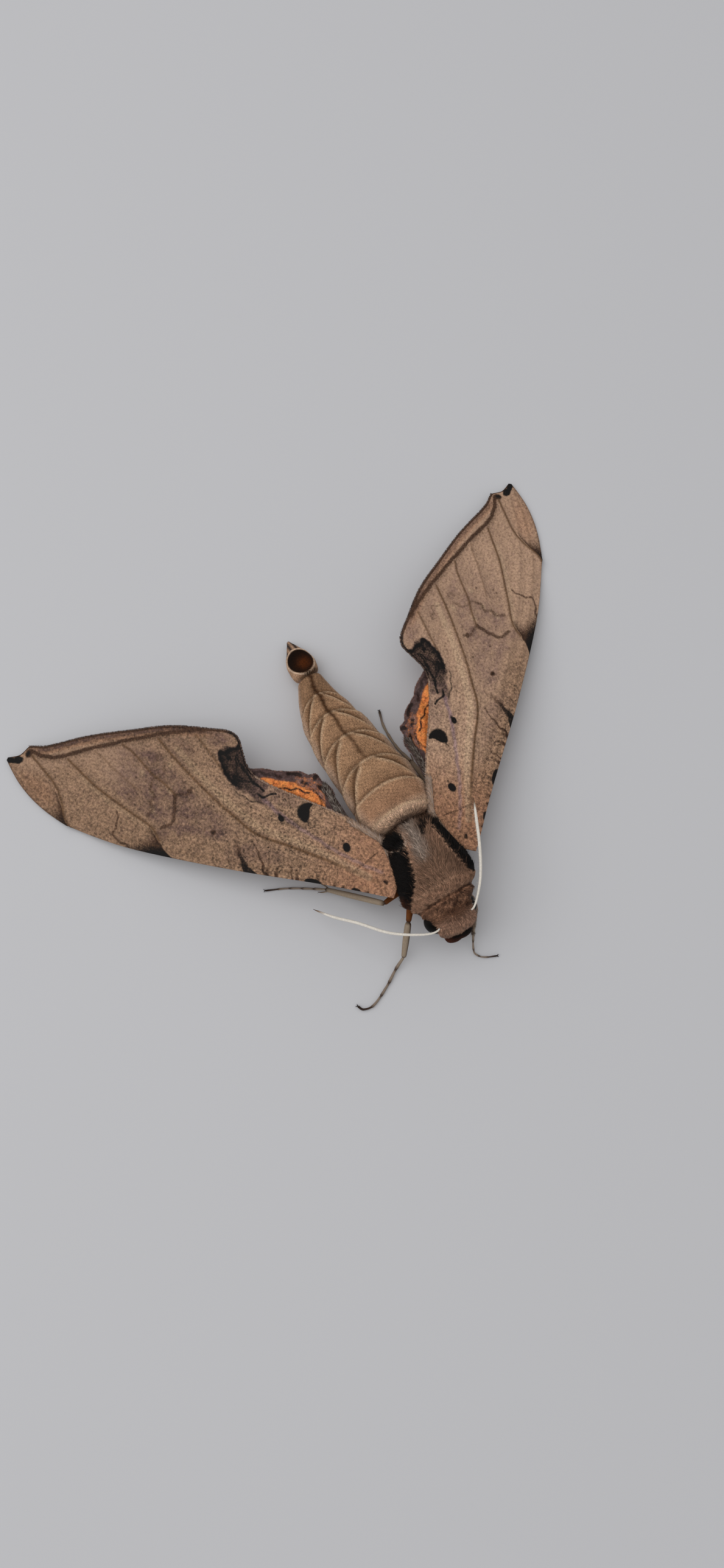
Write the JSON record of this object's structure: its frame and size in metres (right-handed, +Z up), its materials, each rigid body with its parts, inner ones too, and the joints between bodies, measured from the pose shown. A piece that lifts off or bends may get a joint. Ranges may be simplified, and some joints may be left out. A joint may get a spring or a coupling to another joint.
{
  "type": "hawk moth",
  "caption": "Life-size still model of a streaked sphinx hawk moth at rest, wings swept back, resting on its feet, tail and wing tips.",
  "frame": {"origin": "on the floor, below the middle of the insect's overall box", "axes": "+Z up from the floor; -Y towards the head; +X towards the moth's left wing tip"},
  "size_m": [0.077, 0.0544, 0.0099],
  "materials": {
    "body_hair": "dense short hair-like scales, tan to golden brown, matt",
    "dark_hair": "dense black-brown hair-like scales, velvety",
    "eye": "smooth dark compound eye, glossy",
    "antenna": "cream scales above, fine comb beneath",
    "forewing_scales": "flat overlapping scales, tan brown with dark veins and markings, matt",
    "hindwing_scales": "flat overlapping scales, bright orange with a dark margin, matt",
    "leg": "close-scaled tan and brown chitin, slight sheen"
  },
  "bodies": {
    "root": {"thorax": "body_hair", "abdomen": "body_hair", "abdomen_tip": "body_hair", "head": "body_hair", "tegula_left": "dark_hair", "tegula_right": "dark_hair", "palp_left": "dark_hair", "palp_right": "dark_hair", "eye_left": "eye", "eye_right": "eye", "antenna_left": "antenna", "antenna_right": "antenna", "forewing_left": "forewing_scales", "forewing_right": "forewing_scales", "hindwing_left": "hindwing_scales", "hindwing_right": "hindwing_scales", "leg_front_left": "leg", "leg_front_right": "leg", "leg_mid_left": "leg", "leg_mid_right": "leg", "leg_hind_left": "leg", "leg_hind_right": "leg"}
  },
  "joints": []
}
